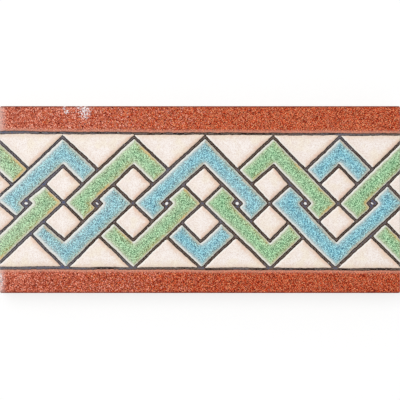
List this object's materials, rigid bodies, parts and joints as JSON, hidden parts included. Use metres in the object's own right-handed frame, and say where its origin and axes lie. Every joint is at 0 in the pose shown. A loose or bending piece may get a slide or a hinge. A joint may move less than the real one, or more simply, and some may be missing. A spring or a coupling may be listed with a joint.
{
  "type": "border tile",
  "caption": "Narrow glazed ceramic border tile: a frieze of interlaced zigzag straps in raised glaze, parted by dry dark lines, between plain red bands, with a keyed back.",
  "frame": {"origin": "centre of the tile's outline, on the plane of its back", "axes": "+X along the length, to the right when the glazed face is seen upright; +Y across it, towards the upper band; +Z out of the glazed face"},
  "size_m": [0.15, 0.07, 0.01],
  "materials": {
    "glazed_tile": "speckled satin glazes in red, turquoise, green and cream pools between matte dark lines, on a pale unglazed clay body"
  },
  "bodies": {
    "root": {"border_tile": "glazed_tile"}
  },
  "joints": []
}
